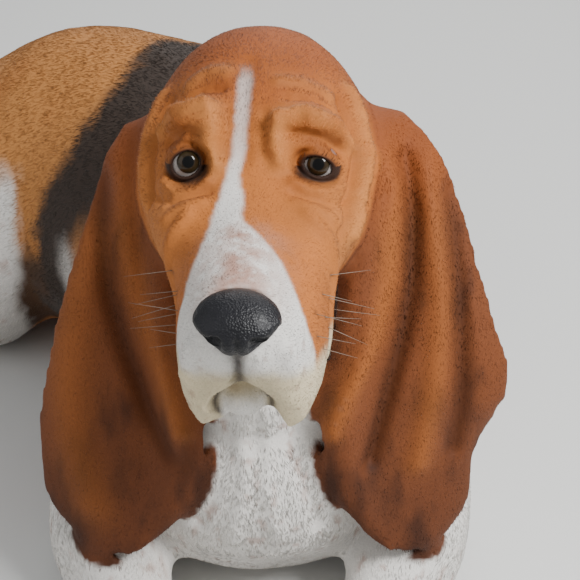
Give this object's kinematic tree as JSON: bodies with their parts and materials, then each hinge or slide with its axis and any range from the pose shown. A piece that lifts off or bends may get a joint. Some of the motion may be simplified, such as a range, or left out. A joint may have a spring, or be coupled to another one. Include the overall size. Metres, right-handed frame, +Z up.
{
  "type": "basset hound, lying, life-size still model",
  "caption": "Basset hound lying with its head up, tan, white and black-brown, with long hanging ears, a deep muzzle and a curled back.",
  "frame": {"origin": "centre of the outer box, on the floor under the lying dog", "axes": "+Z up, the dog faces -Y, +X to the dog's left"},
  "size_m": [0.5924, 0.7498, 0.373],
  "materials": {
    "coat_tan": "short smooth fur",
    "coat_white": "short smooth fur, faint ticking",
    "coat_saddle": "short smooth fur, soft ticked edges",
    "coat_ear": "short fine fur",
    "nose_leather": "pebbled, moist",
    "eye": "wet, glossy",
    "claw": "horn, slightly worn"
  },
  "bodies": {
    "root": {"head": "coat_tan", "lower_jaw": "coat_white", "nose": "nose_leather", "eye_left": "eye", "eye_right": "eye", "neck": "coat_white", "torso_front": "coat_saddle", "torso_rear": "coat_tan", "upper_arm_left": "coat_tan", "foreleg_left": "coat_white", "forepaw_left": "coat_white", "claw_fore_left_1": "claw", "claw_fore_left_2": "claw", "claw_fore_left_3": "claw", "claw_fore_left_4": "claw", "upper_arm_right": "coat_tan", "foreleg_right": "coat_white", "forepaw_right": "coat_white", "claw_fore_right_1": "claw", "claw_fore_right_2": "claw", "claw_fore_right_3": "claw", "claw_fore_right_4": "claw", "thigh_left": "coat_tan", "shank_left": "coat_white", "hock_left": "coat_white", "hindpaw_left": "coat_white", "claw_hind_left_1": "claw", "claw_hind_left_2": "claw", "claw_hind_left_3": "claw", "claw_hind_left_4": "claw", "thigh_right": "coat_tan", "shank_right": "coat_white", "hock_right": "coat_white", "hindpaw_right": "coat_white", "claw_hind_right_1": "claw", "claw_hind_right_2": "claw", "claw_hind_right_3": "claw", "claw_hind_right_4": "claw", "tail": "coat_tan", "ear_left": "coat_ear", "ear_right": "coat_ear"}
  },
  "joints": []
}
